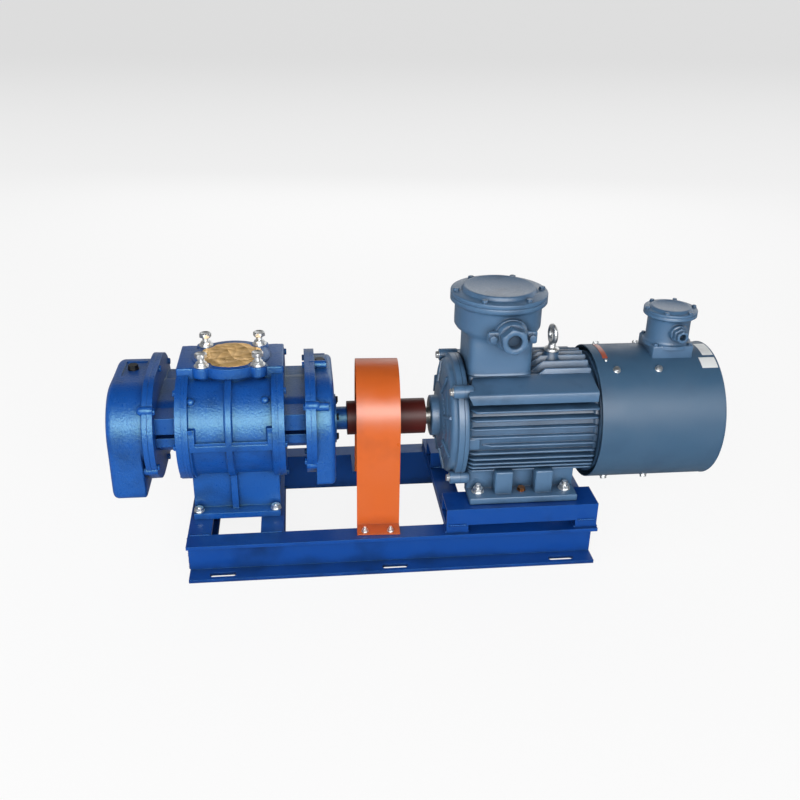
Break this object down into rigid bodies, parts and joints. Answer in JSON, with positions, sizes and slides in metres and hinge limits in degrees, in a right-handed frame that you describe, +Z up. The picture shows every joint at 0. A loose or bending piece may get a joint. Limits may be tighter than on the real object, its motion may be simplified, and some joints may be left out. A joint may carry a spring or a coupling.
{
  "type": "roots blower",
  "caption": "Two-lobe roots blower driven through a guarded pin coupling by a foot-mounted electric motor with its own cooling fan, on a welded channel base.",
  "frame": {"origin": "middle of the base frame at floor level, centre of the foundation slots", "axes": "+X along the shafts from the gear end of the blower to the motor, +Y to the discharge side, +Z up"},
  "size_m": [1.419, 0.455, 0.6475],
  "materials": {
    "base_paint": "gloss enamel",
    "blower_paint": "gloss enamel on rough casting",
    "motor_paint": "semi-gloss enamel",
    "guard_paint": "gloss enamel",
    "primer": "red-brown primer",
    "zinc_steel": "bright zinc plate",
    "machined_steel": "machined",
    "cast_iron": "machined casting",
    "black_plastic": "satin black",
    "black_steel": "black oxide",
    "gold_foil": "crinkled golden foil",
    "rubber": "black rubber",
    "sight_glass": "clear glass in a steel ring",
    "copper": "copper",
    "fan_plastic": "black moulded plastic",
    "lamination": "stacked sheet"
  },
  "bodies": {
    "housing": {"base_cross_left": "base_paint", "base_cross_right": "base_paint", "base_rail_front": "base_paint", "base_rail_rear": "base_paint", "blower_casing": "blower_paint", "blower_foot_bolts": "zinc_steel", "box_bolts": "zinc_steel", "coupling_guard": "guard_paint", "cover_bolts": "zinc_steel", "cowl_screws": "zinc_steel", "drive_cover": "blower_paint", "drive_end_shield": "motor_paint", "drive_shaft_seal": "rubber", "drive_side_plate": "blower_paint", "earth_bolt": "copper", "fan_box_body": "motor_paint", "fan_box_gland": "motor_paint", "fan_box_lid": "motor_paint", "fan_cowl": "motor_paint", "fan_motor": "motor_paint", "gear_cover": "blower_paint", "gear_side_plate": "blower_paint", "guard_bolts": "zinc_steel", "guard_bracket": "base_paint", "inlet_bolts": "zinc_steel", "inlet_foil": "gold_foil", "lifting_eye": "zinc_steel", "motor_bearings": "machined_steel", "motor_cross_bars": "base_paint", "motor_foot_bolts": "zinc_steel", "motor_frame": "motor_paint", "motor_pad_front": "base_paint", "motor_pad_rear": "base_paint", "oil_plugs": "black_plastic", "oil_sight_glasses": "sight_glass", "rear_end_shield": "motor_paint", "rear_grille": "motor_paint", "rotor_bearings": "machined_steel", "seal_carrier": "blower_paint", "seal_carrier_bolts": "black_steel", "shield_bolts": "zinc_steel", "side_plate_bolts": "zinc_steel", "stator_core": "lamination", "stator_windings": "copper", "terminal_board": "black_plastic", "terminal_box_body": "motor_paint", "terminal_box_gland": "motor_paint", "terminal_box_lid": "motor_paint"},
    "motor_rotor": {"motor_shaft": "machined_steel", "motor_rotor_core": "lamination", "coupling_hub_motor": "primer", "coupling_pins": "machined_steel", "coupling_bushes": "rubber"},
    "drive_rotor": {"drive_rotor": "cast_iron", "drive_gear": "machined_steel", "coupling_hub_blower": "primer", "shaft_sleeve": "blower_paint"},
    "driven_rotor": {"driven_rotor": "cast_iron", "driven_gear": "machined_steel"},
    "cooling_fan": {"fan_impeller": "fan_plastic"}
  },
  "joints": [
    {"name": "motor_spin", "type": "hinge", "parent": "housing", "child": "motor_rotor", "pos_m": [0, -0.041, 0.323], "axis": [1, 0, 0], "continuous": true},
    {"name": "drive_rotor_spin", "type": "hinge", "parent": "housing", "child": "drive_rotor", "pos_m": [0, -0.041, 0.323], "axis": [1, 0, 0], "continuous": true},
    {"name": "driven_rotor_spin", "type": "hinge", "parent": "housing", "child": "driven_rotor", "pos_m": [0, 0.069, 0.323], "axis": [1, 0, 0], "continuous": true},
    {"name": "cooling_fan_spin", "type": "hinge", "parent": "housing", "child": "cooling_fan", "pos_m": [0, -0.041, 0.323], "axis": [1, 0, 0], "continuous": true}
  ],
  "couplings": [
    {"joint": "drive_rotor_spin", "follows": "motor_spin", "ratio": 1},
    {"joint": "driven_rotor_spin", "follows": "motor_spin", "ratio": -1}
  ]
}
